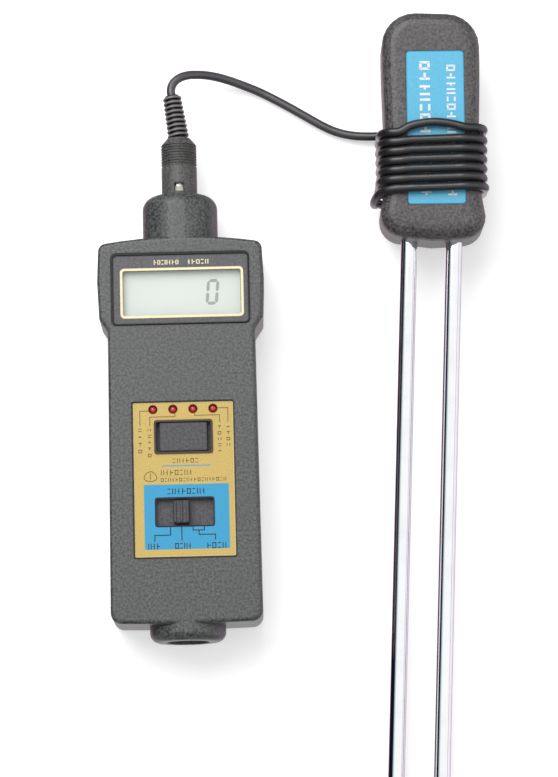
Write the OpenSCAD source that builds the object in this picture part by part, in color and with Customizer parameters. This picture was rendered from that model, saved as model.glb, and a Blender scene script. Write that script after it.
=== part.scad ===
// Hand-held grain moisture meter with a two-rod probe on a lead.
// The meter lies on its back. The origin is the centre of its rear face,
// +X runs to the right of the display, +Y towards the probe socket and +Z out of the display.

/* [Case] */
// Length of the case without its two noses
case_l = 140; // [120:1:170]
// Thickness of the case
case_t = 27; // [26:0.5:34]
// Width of the display head
head_w = 60; // [58:1:72]
// Width of the grip below the head
body_w = 54; // [52:1:64]
// Height of the head's straight side, from its top corner to the shoulder
head_side = 27.5; // [27:0.5:34]
// Thickness of the side and rear walls
wall = 2.2; // [1.8:0.1:2.4]
// Thickness of the front wall
front_wall = 2.6; // [2.4:0.1:3]
// Radius of the rounded front edge
front_edge_r = 1.4; // [0.8:0.1:1.8]
// Radius of the rounded rear edge
rear_edge_r = 1.8; // [0.8:0.1:2]
// Diameter of the socket nose at the top and the plugged nose at the bottom
nose_d = 27.2; // [25:0.1:32]
// How far the socket nose stands out of the case
nose_out = 16.9; // [12:0.5:20]
// How far the bottom nose stands out of the case
foot_out = 5.5; // [4:0.5:10]

/* [Display] */
// Width of the clear window
window_w = 49; // [46:0.5:50]
// Height of the clear window
window_h = 25.6; // [24:0.2:26]
// Thickness of the clear window
window_t = 1.2; // [1:0.1:1.3]
// Gap around the window in its recess
window_gap = 0.3; // [0.1:0.05:0.4]
// Width of the liquid crystal glass
glass_w = 46; // [44:0.5:46]
// Height of the liquid crystal glass
glass_h = 22.4; // [20:0.2:22.6]
// Thickness of the liquid crystal glass
glass_t = 2.7; // [2:0.1:2.8]

/* [Controls] */
// Width of the printed face label
label_w = 35.8; // [34:0.2:44]
// Height of the printed face label
label_h = 55.5; // [54:0.5:60]
// Thickness of the printed labels
label_t = 0.3; // [0.2:0.05:0.4]
// Diameter of each indicator lamp
lamp_d = 2.6; // [2.4:0.1:3.6]
// Distance between neighbouring indicator lamps
lamp_pitch = 7.15; // [6:0.05:8]
// Width of the select button's cap
button_w = 16.8; // [14:0.2:20.2]
// Height of the select button's cap
button_h = 10.1; // [8:0.1:12]
// Travel of the select button
button_travel = 0.8; // [0.4:0.1:1]
// Width of the function switch's aperture
slot_w = 20.3; // [19:0.1:24.4]
// Height of the function switch's aperture
slot_h = 9.7; // [8:0.1:11.6]
// Distance between neighbouring switch positions
switch_pitch = 4; // [3:0.25:4.5]

/* [Power] */
// Diameter of one AAA battery
cell_d = 10.4; // [10:0.1:10.5]
// Length of one AAA battery with its button
cell_l = 44.5; // [43:0.5:46]
// Thickness of the battery door
door_t = 1.8; // [1.4:0.1:2]

/* [Lead] */
// Diameter of the lead
cable_d = 3.2; // [2.6:0.1:3.6]
// Diameter of the plug's grip
plug_d = 12.9; // [11:0.1:15.5]
// Diameter of the plug's metal shell
plug_shell_d = 9; // [8:0.1:10.8]
// Radial gap between the plug's parts and the socket's parts
plug_gap = 0.1; // [0.05:0.05:0.15]

/* [Probe] */
// Length of the handle
handle_l = 81.8; // [70:1:98]
// Widest width of the handle, near the rods
handle_w = 38; // [36:0.5:46]
// Width of the handle's waist
waist_w = 33.6; // [32:0.1:36]
// Width of the handle's top end
crown_w = 35.5; // [32:0.5:40]
// Thickness of the handle
handle_t = 27; // [24:0.5:33]
// Radius of the handle's rounded edges
handle_edge_r = 5; // [2:0.5:6]
// Angle by which the handle stands askew of the rods
handle_lean = 2.2; // [0:0.1:2.5]
// Diameter of the electrode rods
rod_d = 6; // [5:0.1:8]
// Distance between the rods' centres
rod_pitch = 16.3; // [14:0.1:18]
// Length of rod outside the handle
rod_out = 270; // [150:5:400]

/* [Hidden] */
$fn = 48;

sides = [-1, 1];
tiny = 0.01;
fit = 0.1;
edge_steps = 4;

// Heights in the case
split_z = case_t / 2;
front_z = case_t - front_wall;
window_z = case_t - window_t - 0.2;
label_z = case_t - label_t;
board_t = 1.6;
board_z = case_t - 11;
board_top = board_z + board_t;

// Places along the case
top_y = case_l / 2;
bottom_y = -case_l / 2;
top_rise = 2.4;
bottom_rise = 0.6;
case_middle = [0, top_y - 58];
window_y = top_y - 19.4;
glass_y = window_y - 1.5;
lamp_y = 6.8;
button_y = -3.2;
slot_y = -30.2;
label_y = lamp_y + 2.5 - label_h / 2;

// Noses
nose_r = nose_d / 2;
nose_y = top_y + nose_out;
foot_y = bottom_y - foot_out;
nose_wall = 2.6;
nose_hollow_r = nose_r - nose_wall;
nose_end_t = 3;
foot_end_t = 2.6;
nose_flat = 0.05;
foot_flat = door_t + 0.4;
plug_hole_r = nose_r - 6;

// Display
holder_w = glass_w + 3;
holder_h = glass_h + 4;
holder_lip = 0.3;
glass_top = front_z - holder_lip;
window_hole_w = glass_w - 3;
window_hole_h = glass_h - 4;

// Button and its switch
bezel_gap = 1.3;
bezel_line = 0.5;
bezel_w = button_w + 2 * bezel_gap;
bezel_h = button_h + 0.6;
bezel_rise = 0.3;
flange_t = 1;
flange_over = 2;
tact_w = 6;
tact_h = 3.6;
plunger_r = 1.7;

// Function switch: it rests in the second of four places
knob_x = -1.2;
knob_w = 5.6;
knob_h = 8;
knob_top = case_t + 1.3;
shutter_t = 1.2;
shutter_gap = 0.1;
shutter_top = front_z - shutter_gap;
travel_left = switch_pitch;
travel_right = 2 * switch_pitch;
shutter_left = -slot_w / 2 - travel_right - 0.8;
shutter_right = slot_w / 2 + travel_left + 0.8;
can_h = 4.4;
can_wall = 0.8;
slider_w = 3.4;
slider_foot_w = 5;

// Battery bay
cell_pitch = cell_d + 0.7;
bay_w = 4 * cell_pitch;
plate_t = 0.4;
spring_l = 3.2;
bay_l = cell_l + spring_l + 2 * plate_t;
bay_floor = door_t + 0.3;
bay_roof = bay_floor + cell_d + 0.4;
bay_wall = 1.3;
bay_low = bottom_y + 9;
bay_high = bay_low + bay_l;
cell_z = bay_floor + cell_d / 2 + 0.1;
door_w = bay_w + 0.6;
door_gap = 0.2;
tongue_w = 0.9;
tongue_low = 0.7;
tongue_high = 1.4;
door_end = bottom_y + 1;
lead_r = 0.5;

// Screws
screw_r = 1.1;
screw_head_r = 2.3;
screw_seat = 6;
screw_head_h = 1.6;
boss_r = 2.6;
case_screw_places = [
  [-body_w / 2 + 4, top_y - 42], [body_w / 2 - 4, top_y - 42],
  [-18, bottom_y + 4.6], [18, bottom_y + 4.6]
];
board_screw_places = [
  [-16.5, top_y - 39.5], [16.5, top_y - 39.5], [-16.5, bottom_y + 12], [16.5, bottom_y + 12]
];
board_w = body_w - 14;
board_head_w = glass_w + 2;
board_head_y = top_y - 31.8;
board_low = bottom_y + 8;
board_high = top_y - 6;
chip_y = (glass_y - holder_h / 2 + lamp_y + 2) / 2;

// Plug and socket, on the nose's axis
plug_shell_r = plug_shell_d / 2;
plug_shell_t = 0.4;
plug_y = nose_y + 0.1;
sleeve_l = 21.9;
shell_low = nose_y - 11.4;
shell_high = nose_y + 10;
socket_bore_r = plug_shell_r + plug_gap;
socket_r = socket_bore_r + 0.6;
socket_low = nose_y - 14;
socket_top = nose_y - 0.3;
core_top = nose_y - 1.4;
core_r = plug_shell_r - plug_shell_t - plug_gap;
pin_r = 0.45;
pin_circle = 2.3;
contact_r = 0.6;
wire_r = 0.5;

// Strain relief: it leans a little to the left and down
boot_y = plug_y + sleeve_l;
boot_start = [0, boot_y + 0.6, split_z];
boot_end = [-2.2, boot_y + 16.4, split_z - 0.7];
boot_rings = 9;
boot_root_r = 3.2;

// Lead: points on its centreline from the strain relief to the winding
lead_points = [
  boot_end, boot_end + 2 * unit(boot_end - boot_start), [-1.8, 130, 12.2], [0.2, 132.2, 11.6],
  [3.2, 133.6, 10.6], [7, 134.2, 9.2], [12, 134.2, 7.2], [18, 133.2, 4.8], [24, 131.4, 2.8],
  [30, 129, 1.8],
  [36, 125.8, 1.7], [42, 122.3, 1.7], [48, 118.6, 1.7], [53, 115.6, 1.7], [58, 113.2, 1.7],
  [64, 111.6, 1.9], [70, 111, 2.4], [75.5, 110.8, 2.9]
];
cable_r = cable_d / 2;

// Probe: its own frame starts at the middle of the handle's rod end, on the rear face
probe_turn = -3;
probe_pitch = 2.77;
probe_place = [91.3, 69.2, 2.65];
lean_v = 6;
handle_split = handle_t / 2;
handle_wall = 2.2;
rod_r = rod_d / 2;
rod_x = rod_pitch / 2;
handle_rise = 1.8;
wide_v = 8;
waist_v = 0.25 * handle_l;
crown_v = 0.83 * handle_l;
handle_hollow_inset = 0.6 * handle_edge_r + handle_wall - 1;
block_low = handle_hollow_inset + 0.2;
block_high = 20;
block_w = waist_w - 2 * handle_hollow_inset - 1.4;
block_t = rod_d + 4.4;
stud_r = 2;
rod_inside = block_high - 2;
nut_low = block_high + 1;
nut_t = 3.2;
winding_low = 17.2;
winding_high = 41.8;
winding_w = 40.8;
handle_label_w = 20.8;
handle_label_l = 56;
handle_label_place = [1.3, 39];
// Tail of the lead: down the handle's left side, under it and up into the grommet
tail_points = [
  [-19.9, 17.6, 23.6], [-20.4, 16, 19], [-20.7, 15, 14], [-20.6, 14.8, 9.5], [-20.2, 14.8, 5],
  [-19.5, 14.8, 2.3], [-18, 14.8, 0.1], [-15.8, 14.8, -1.3], [-13, 14.8, -1.7],
  [-8.7, 14.8, -1.7], [-7, 14.8, -1.5], [-5.4, 14.8, -0.8], [-4, 14.8, 0.2], [-2.4, 14.8, 1.8],
  [-0.4, 15.4, 3.8], [1.2, 17.2, 5.1], [2.1, 19.7, 5.8], [2.3, 22, 6], [2.3, 26.5, 6.2],
  [2.3, 31, 6.2]
];
grommet_place = [-2.4, 14.8, 1.8];
grommet_r = 2.8;
clamp_x = 2.3;
clamp_y = 34;
clamp_top = handle_split - 1;
tail_shift = lean_shift(grommet_place.y);
wire_core_r = 0.7;
handle_screw_places = [
  for (p = [[-10, 30], [10.6, 30], [0, 70]]) [p.x + lean_shift(p.y), p.y]
];

// ---- Shared geometry ----

function unit(v) = v / norm(v);

// Points of the arc that rounds the corner b between a and c
function corner_arc(a, b, c, r, steps) =
  let (
    u = unit(a - b), v = unit(c - b), half = acos(u * v) / 2,
    centre = b + unit(u + v) * r / sin(half),
    first = b + u * r / tan(half) - centre, last = b + v * r / tan(half) - centre,
    start = atan2(first.y, first.x),
    turn = (atan2(last.y, last.x) - start + 540) % 360 - 180
  )
  [for (i = [0:steps]) centre + r * [cos(start + turn * i / steps), sin(start + turn * i / steps)]];

// Outline with corner points [x, y, radius]
function rounded(points, steps = 6) = [
  for (i = [0:len(points) - 1])
    let (
      p = points[i], a = points[(i + len(points) - 1) % len(points)],
      c = points[(i + 1) % len(points)]
    )
    each p.z > 0 ? corner_arc([a.x, a.y], [p.x, p.y], [c.x, c.y], p.z, steps) : [[p.x, p.y]]
];

function box_outline(w, h, r) =
  rounded([[w / 2, -h / 2, r], [w / 2, h / 2, r], [-w / 2, h / 2, r], [-w / 2, -h / 2, r]]);

// Outline of the case, drawn in by inset
function case_outline(inset) =
  let (
    head = head_w / 2 - inset, waist = body_w / 2 - inset,
    high = top_y - top_rise - inset, low = bottom_y + bottom_rise + inset,
    shoulder = top_y - top_rise - head_side + inset * 0.6,
    bow = 0.6, corner = 4, steps = 8
  )
  rounded([
    [0, low - bottom_rise, 0], [waist - 8, low - bottom_rise / 3, 0],
    [waist, low, corner], [waist - 0.6, shoulder - 4.6, 1.6], [head - bow, shoulder, 1.6],
    [head, (high + shoulder) / 2, 0], [head - bow, high, max(3 - inset, 0.6)],
    for (i = [1:steps - 1])
      let (t = 1 - 2 * i / steps) [(head - bow) * t, high + top_rise * (1 - t * t), 0],
    [bow - head, high, max(3 - inset, 0.6)], [-head, (high + shoulder) / 2, 0],
    [bow - head, shoulder, 1.6], [0.6 - waist, shoulder - 4.6, 1.6],
    [-waist, low, corner], [8 - waist, low - bottom_rise / 3, 0]
  ]);

// Half width of the handle at v along it: wide at the rods, a waist, then wider again
function ease(t) = (1 - cos(180 * min(max(t, 0), 1))) / 2;
function handle_half(v) =
  v < waist_v
    ? (handle_w + (waist_w - handle_w) * ease((v - wide_v) / (waist_v - wide_v))) / 2
    : (waist_w + (crown_w - waist_w) * ease((v - waist_v) / (crown_v - waist_v))) / 2;

// Sideways shift of the handle's middle at v, as it leans from the rods
function lean_shift(v) = (lean_v - v) * tan(handle_lean);

function handle_outline(inset) =
  let (
    steps = 10,
    span = crown_v - wide_v,
    upright = [
      [0, inset - handle_rise, 0],
      [handle_w / 2 - inset - 0.3, inset, max(8 - inset, 1)],
      for (i = [0:steps]) let (v = wide_v + span * i / steps) [handle_half(v) - inset, v, 0],
      [crown_w / 2 - inset - 0.3, handle_l - inset, 12 - inset],
      [0.3 + inset - crown_w / 2, handle_l - inset, 12 - inset],
      for (i = [steps:-1:0]) let (v = wide_v + span * i / steps) [inset - handle_half(v), v, 0],
      [0.3 + inset - handle_w / 2, inset, max(8 - inset, 1)]
    ]
  )
  rounded([for (p = upright) [p.x + lean_shift(p.y), p.y, p.z]]);

// Solid between outlines with the same number of points, each at its own height
module loft(outlines, heights, hub) {
  n = len(outlines[0]);
  rows = len(outlines);
  points = [
    for (k = [0:rows - 1]) for (p = outlines[k]) [p.x, p.y, heights[k]],
    [hub.x, hub.y, heights[0]], [hub.x, hub.y, heights[rows - 1]]
  ];
  faces = [
    for (k = [0:rows - 2]) for (i = [0:n - 1])
      let (j = (i + 1) % n, a = k * n + i, b = k * n + j)
      each [[a, a + n, b], [b, a + n, b + n]],
    for (i = [0:n - 1]) let (j = (i + 1) % n) [rows * n, i, j],
    for (i = [0:n - 1]) let (j = (i + 1) % n) [rows * n + 1, (rows - 1) * n + j, (rows - 1) * n + i]
  ];
  polyhedron(points, faces);
}

function edge_inset(r, i) = r * (1 - cos(90 * i / edge_steps));
function edge_rise(r, i) = r * sin(90 * i / edge_steps);

// Round tube along points
function tube_way(points, i) =
  unit(points[min(i + 1, len(points) - 1)] - points[max(i - 1, 0)]);
module tube(points, r, facets = 8) {
  last = len(points) - 1;
  ring = [
    for (i = [0:last])
      let (
        way = tube_way(points, i),
        side = unit(cross(way, abs(way.z) > 0.9 ? [1, 0, 0] : [0, 0, 1])), up = cross(side, way)
      )
      for (k = [0:facets - 1])
        points[i] + r * (cos(360 * k / facets) * side + sin(360 * k / facets) * up)
  ];
  skin = [
    for (i = [0:last - 1]) for (k = [0:facets - 1])
      let (m = (k + 1) % facets, a = i * facets + k, b = i * facets + m)
      each [[a, b, a + facets], [b, b + facets, a + facets]],
    [for (k = [facets - 1:-1:0]) k],
    [for (k = [0:facets - 1]) last * facets + k]
  ];
  polyhedron(ring, skin);
}

module slab(w, h, low, high, r = 0) {
  translate([0, 0, low])
    linear_extrude(high - low)
      polygon(r > 0 ? box_outline(w, h, r) : [[w, -h] / 2, [w, h] / 2, [-w, h] / 2, [-w, -h] / 2]);
}

module post(place, r, low, high) {
  translate([place.x, place.y, low])
    cylinder(r = r, h = high - low);
}

// Round bar along Y on the nose's axis
module bar(r, low, high) {
  translate([0, low, split_z])
    rotate([-90, 0, 0])
      cylinder(r = r, h = high - low);
}

module at_probe() {
  translate(probe_place)
    rotate([probe_pitch, 0, probe_turn])
      children();
}

// Turns what follows the handle about the middle of its rod end
module leaning() {
  translate([0, lean_v, 0])
    rotate([0, 0, handle_lean])
      translate([0, -lean_v, 0])
        children();
}

// ---- Case ----

module nose(low, high, edge) {
  steps = 6;
  translate([0, 0, split_z])
    rotate([-90, 0, 0])
      rotate_extrude()
        polygon([
          [0, low], [nose_r, low],
          for (i = [0:steps])
            [nose_r - edge * (1 - cos(90 * i / steps)), high - edge + edge * sin(90 * i / steps)],
          [0, high]
        ]);
}

module top_nose() {
  intersection() {
    nose(top_y - 6, nose_y, 4.8);
    translate([-nose_d, 0, nose_flat])
      cube([2 * nose_d, nose_y + 1, case_t - 2 * nose_flat]);
  }
}

module foot_nose() {
  intersection() {
    mirror([0, 1, 0])
      nose(-bottom_y - 5, -foot_y, 3.4);
    translate([-nose_d, foot_y - 1, foot_flat])
      cube([2 * nose_d, -foot_y, case_t - nose_flat - foot_flat]);
  }
}

module nose_hollows() {
  bar(nose_hollow_r, top_y - 8, nose_y - nose_end_t);
  bar(socket_r + 0.05, nose_y - nose_end_t - 1, nose_y + 1);
  bar(nose_hollow_r - 1.6, foot_y + foot_end_t, bottom_y + 7);
  bar(plug_hole_r, foot_y - 1, foot_y + foot_end_t + 1);
}

module upper_half() {
  translate([-case_l, -case_l, split_z])
    cube([2 * case_l, 2 * case_l, case_t]);
}

module lower_half() {
  translate([-case_l, -case_l, split_z - case_t])
    cube([2 * case_l, 2 * case_l, case_t]);
}

module front_cover() {
  color("#4c4b4d")
  difference() {
    union() {
      loft(
        [case_outline(0), for (i = [0:edge_steps]) case_outline(edge_inset(front_edge_r, i))],
        [split_z, for (i = [0:edge_steps]) case_t - front_edge_r + edge_rise(front_edge_r, i)],
        case_middle
      );
      intersection() {
        union() {
          top_nose();
          foot_nose();
        }
        upper_half();
      }
      translate([0, button_y, 0])
        slab(bezel_w + 2 * bezel_line, bezel_h + 2 * bezel_line, front_z, case_t + bezel_rise, 0.8);
    }
    difference() {
      translate([0, 0, split_z - 1])
        linear_extrude(front_z - split_z + 1)
          polygon(case_outline(wall));
      for (p = case_screw_places)
        post(p, boss_r, split_z, case_t);
      for (p = board_screw_places)
        post(p, boss_r, board_top, case_t);
    }
    nose_hollows();
    translate([0, window_y, 0])
      slab(window_w + 2 * window_gap, window_h + 2 * window_gap, window_z, case_t + 1, 1.6);
    translate([0, glass_y, 0])
      slab(window_hole_w, window_hole_h, front_z - 1, case_t, 1);
    difference() {
      translate([0, label_y, 0])
        slab(label_w + fit, label_h + fit, label_z, case_t + 1, 0.5);
      translate([0, button_y, 0])
        slab(bezel_w + 2 * bezel_line, bezel_h + 2 * bezel_line, front_z, case_t + 2, 0.8);
    }
    for (i = [-1.5:1.5])
      post([i * lamp_pitch, lamp_y], lamp_d / 2 + 0.2, front_z - 1, case_t + 1);
    translate([0, button_y, 0])
      slab(bezel_w, bezel_h, front_z - 1, case_t + 1, 0.5);
    translate([0, slot_y, 0])
      slab(slot_w, slot_h, front_z - 1, case_t + 1, 0.6);
    for (p = case_screw_places)
      post(p, screw_r, split_z - 1, split_z + 7);
    for (p = board_screw_places)
      post(p, screw_r - 0.2, board_top - 1, board_top + 4.4);
  }
}

module door_way() {
  low = foot_y - 1;
  translate([-door_w / 2 - door_gap, low, -1])
    cube([door_w + 2 * door_gap, bay_high + door_gap - low, 1 + bay_floor]);
  translate([-door_w / 2 - tongue_w - door_gap, low, tongue_low - 0.1])
    cube([
      door_w + 2 * tongue_w + 2 * door_gap, bay_high + door_gap - low,
      tongue_high - tongue_low + 0.2
    ]);
}

module rear_cover() {
  color("#454446")
  difference() {
    union() {
      difference() {
        union() {
          loft(
            [
              for (i = [edge_steps:-1:0]) case_outline(edge_inset(rear_edge_r, i)),
              case_outline(0)
            ],
            [for (i = [edge_steps:-1:0]) rear_edge_r - edge_rise(rear_edge_r, i), split_z],
            case_middle
          );
          intersection() {
            union() {
              top_nose();
              foot_nose();
            }
            lower_half();
          }
        }
        difference() {
          translate([0, 0, wall])
            linear_extrude(case_t)
              polygon(case_outline(wall));
          for (p = case_screw_places)
            post(p, boss_r + 1, 0, split_z);
        }
        nose_hollows();
      }
      translate([-bay_w / 2 - bay_wall, bay_low - bay_wall, 0.4])
        cube([bay_w + 2 * bay_wall, bay_l + 2 * bay_wall, bay_roof + bay_wall - 0.4]);
      translate([-body_w / 2 + 1, bottom_y + 3, 1])
        cube([body_w - 2, bay_low - bottom_y - 3, bay_floor + 0.4]);
    }
    translate([-bay_w / 2, bay_low, 0])
      cube([bay_w, bay_l, bay_roof]);
    door_way();
    for (p = case_screw_places) {
      post(p, screw_r + 0.2, 0, split_z + 1);
      post(p, screw_head_r + 0.3, -1, screw_seat);
    }
    for (s = sides)
      post([s * 1.5 * cell_pitch, bay_high + lead_r], lead_r + 0.05, bay_floor + 4, case_t);
  }
}

// ---- Display ----

module display_window() {
  color("#3e3d40")
  translate([0, window_y, 0])
    slab(window_w, window_h, window_z, window_z + window_t, 1.4);
}

module lcd_holder() {
  cut = 3.6;
  color("#2c2c2e")
  translate([0, glass_y, 0])
  difference() {
    translate([0, 0, board_top])
      linear_extrude(front_z - board_top)
        polygon([
          [cut - holder_w / 2, -holder_h / 2], [holder_w / 2 - cut, -holder_h / 2],
          [holder_w / 2, cut - holder_h / 2], [holder_w / 2, holder_h / 2],
          [-holder_w / 2, holder_h / 2], [-holder_w / 2, cut - holder_h / 2]
        ]);
    slab(glass_w + 2 * fit, glass_h + 2 * fit, board_top - 1, glass_top);
    slab(window_hole_w, window_hole_h, board_top, case_t, 0.6);
  }
}

module lcd_glass() {
  color("#e4ebe4")
  translate([0, glass_y, 0])
    slab(glass_w, glass_h, glass_top - glass_t, glass_top);
}

module contact_strips() {
  color("#d88fa0")
  for (s = sides)
    translate([0, glass_y + s * (glass_h / 2 - 1.2), 0])
      slab(glass_w - 2, 1.8, board_top, glass_top - glass_t);
}

// ---- Circuit board ----

module main_board() {
  color("#2f6b3c")
  difference() {
    union() {
      translate([-board_w / 2, board_low, board_z])
        cube([board_w, board_high - board_low, board_t]);
      translate([-board_head_w / 2 - 0.6, board_head_y, board_z])
        cube([board_head_w + 1.2, board_high - board_head_y, board_t]);
    }
    for (p = board_screw_places)
      post(p, screw_r, board_z - 1, board_top + 1);
  }
}

module main_chip() {
  color("#1d1d1f")
  translate([0, chip_y, 0])
    slab(10, 10, board_top, board_top + 1.6);
}

module board_parts() {
  color("#8c7d55") {
    for (s = sides) {
      translate([s * 12, chip_y - 0.5, 0])
        slab(5, 6, board_top, board_top + 1.5);
      post([s * 13, slot_y + 14], 2.5, board_top, board_top + 4.6);
      translate([s * 13, slot_y - 12, 0])
        slab(4, 5, board_top, board_top + 1.4);
    }
    for (i = [-3:3])
      translate([i * 3.6, slot_y + 8.4, 0])
        slab(1.2, 2, board_top, board_top + 0.6);
  }
}

module screw(r, head_r, head_h, length) {
  difference() {
    union() {
      cylinder(r = head_r, h = head_h);
      translate([0, 0, head_h])
        cylinder(r = r, h = length);
    }
    for (turn = [0, 90])
      rotate([0, 0, turn])
        translate([-head_r * 0.6, -0.3, -1])
          cube([head_r * 1.2, 0.6, 1.7]);
  }
}

module board_screws() {
  color("#b9bbbd")
  for (p = board_screw_places)
    translate([p.x, p.y, board_z - 1])
      screw(screw_r - 0.25, 1.9, 1, 5.4);
}

module case_screws() {
  color("#a9abad")
  for (p = case_screw_places)
    translate([p.x, p.y, screw_seat - screw_head_h])
      screw(screw_r - 0.05, screw_head_r, screw_head_h, split_z - screw_seat + 6.4);
}

// ---- Controls ----

module face_label() {
  color("#dcc070")
  difference() {
    translate([0, label_y, 0])
      slab(label_w, label_h, label_z, label_z + label_t, 0.5);
    for (i = [-1.5:1.5])
      post([i * lamp_pitch, lamp_y], lamp_d / 2 + 0.2, label_z - 1, case_t + 1);
    translate([0, button_y, 0])
      slab(bezel_w + 2 * bezel_line, bezel_h + 2 * bezel_line, label_z - 1, case_t + 1, 0.8);
    translate([0, slot_y, 0])
      slab(slot_w, slot_h, label_z - 1, case_t + 1, 0.6);
  }
}

module indicator_lamps() {
  color("#c93128")
  for (i = [-1.5:1.5])
    translate([i * lamp_pitch, lamp_y, board_top]) {
      cylinder(r = lamp_d / 2 + 0.4, h = 1.2);
      cylinder(r = lamp_d / 2, h = case_t - board_top - lamp_d / 2);
      translate([0, 0, case_t - board_top - lamp_d / 2])
        sphere(r = lamp_d / 2);
    }
}

module button_switch() {
  color("#222225")
  translate([0, button_y, 0])
  difference() {
    slab(tact_w, tact_w, board_top, board_top + tact_h);
    post([0, 0], plunger_r + fit, board_top + 1, case_t);
  }
}

module button_plunger() {
  color("#e5e2d8")
  post([0, button_y], plunger_r, board_top + 1 + button_travel + 0.2, board_top + tact_h + 1.2);
}

module select_button() {
  color("#5a595b")
  translate([0, button_y, 0]) {
    slab(button_w, button_h, front_z - flange_t, case_t + 0.2, 0.5);
    slab(bezel_w + flange_over, bezel_h + flange_over, front_z - flange_t, front_z);
    post([0, 0], 2.4, board_top + tact_h + 1.2, front_z);
  }
}

module slide_switch() {
  color("#b4b6b8")
  translate([knob_x + (travel_right - travel_left) / 2, slot_y, 0]) {
    run = travel_left + travel_right;
    difference() {
      slab(run + slider_foot_w + 2 * can_wall + 1.2, 7.4, board_top, board_top + can_h);
      slab(run + slider_foot_w + 0.8, 5.8, board_top + can_wall, board_top + can_h - can_wall);
      slab(run + slider_w + 0.6, slider_w + 0.4, board_top + 1, case_t);
    }
  }
}

module switch_slider() {
  color("#d9d6cc")
  translate([knob_x, slot_y, 0]) {
    slab(slider_foot_w, 5.4, board_top + can_wall + fit, board_top + can_h - can_wall - fit);
    slab(slider_w, slider_w, board_top + can_wall + fit, shutter_top - shutter_t);
  }
}

module switch_knob() {
  color("#57565a")
  translate([0, slot_y, 0]) {
    translate([shutter_left, -slot_h / 2 - 1, shutter_top - shutter_t])
      cube([shutter_right - shutter_left, slot_h + 2, shutter_t]);
    translate([knob_x, 0, 0]) {
      slab(knob_w, knob_h, shutter_top - shutter_t, knob_top, 0.4);
      for (i = [-1:1])
        translate([i * 2.2, 0, 0])
          slab(0.8, knob_h - 0.4, knob_top - 1, knob_top + 0.5);
    }
  }
}

// ---- Socket and end plug ----

module socket_shell() {
  color("#c2c4c6")
  difference() {
    union() {
      bar(socket_r, socket_low, socket_top);
      bar(socket_r + 2.4, nose_y - nose_end_t - 2, nose_y - nose_end_t);
    }
    bar(socket_bore_r, socket_low - 1, socket_top + 1);
  }
}

module pin_bars(r, low, high) {
  for (turn = [45:90:315])
    translate([pin_circle * cos(turn), 0, pin_circle * sin(turn)])
      bar(r, low, high);
}

module socket_core() {
  color("#1f1f21")
  difference() {
    union() {
      bar(core_r, socket_low, core_top);
      bar(socket_bore_r, socket_low, socket_low + 2);
    }
    pin_bars(pin_r + plug_gap, socket_low + 5, core_top + 1);
    pin_bars(contact_r, socket_low - 1, socket_low + 5 + tiny);
  }
}

module socket_contacts() {
  color("#d3b464")
  pin_bars(contact_r, socket_low - 3, socket_low + 5);
}

module socket_wires() {
  color("#b04a36")
  for (sx = sides)
    for (sz = sides) {
      x = sx * pin_circle * cos(45);
      z = split_z + sz * pin_circle * sin(45);
      low = board_high - 4 + sz * 1.6;
      translate([x, low, z])
        rotate([-90, 0, 0])
          cylinder(r = wire_r, h = socket_low - 3 - low);
      post([x, low], wire_r, z, board_z);
      translate([x, low, z])
        sphere(r = wire_r);
    }
}

module end_plug() {
  color("#2a2a2c")
  difference() {
    union() {
      bar(plug_hole_r, foot_y + 1.6, foot_y + foot_end_t);
      bar(nose_hollow_r - 1.7, foot_y + foot_end_t, foot_y + foot_end_t + 1.6);
    }
    bar(plug_hole_r - 1.2, foot_y, foot_y + 2.1);
  }
}

// ---- Power ----

module each_cell() {
  for (i = [0:3])
    translate([(i - 1.5) * cell_pitch, (bay_low + bay_high) / 2, cell_z])
      rotate([i % 2 == 0 ? -90 : 90, 0, 0])
        translate([0, 0, -bay_l / 2])
          children();
}

module batteries() {
  nub = 1.2;
  color("#b8862e")
  each_cell()
    translate([0, 0, plate_t + spring_l]) {
      cylinder(r = cell_d / 2, h = cell_l - nub);
      cylinder(r = 1.9, h = cell_l);
    }
}

module battery_plates() {
  color("#c9cbcd")
  each_cell()
    for (z = [0, bay_l - plate_t])
      translate([-4, -4, z])
        cube([8, 8, plate_t]);
}

module battery_springs() {
  wire = 0.35;
  turns = 2.5;
  steps = 24;
  climb = spring_l - 2 * wire - 0.1;
  color("#d0d2d4")
  each_cell()
    translate([0, 0, plate_t + wire])
      tube([
        for (i = [0:steps])
          let (t = i / steps, r = 3.6 - 1.4 * t)
          [r * cos(360 * turns * t), r * sin(360 * turns * t), climb * t]
      ], wire, 6);
}

module battery_leads() {
  color("#a83a30")
  for (s = sides)
    post([s * 1.5 * cell_pitch, bay_high + lead_r], lead_r, bay_floor + 5, board_z);
}

module battery_door() {
  color("#454446")
  difference() {
    union() {
      translate([-door_w / 2, door_end, 0])
        cube([door_w, bay_high - door_end, door_t]);
      translate([-door_w / 2 - tongue_w, door_end + 6, tongue_low])
        cube([door_w + 2 * tongue_w, bay_high - door_end - 8, tongue_high - tongue_low]);
    }
    for (i = [0:4])
      translate([-8, door_end + 6 + 2.4 * i, -1])
        cube([16, 1.2, 1.5]);
  }
}

// ---- Plug and lead ----

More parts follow.
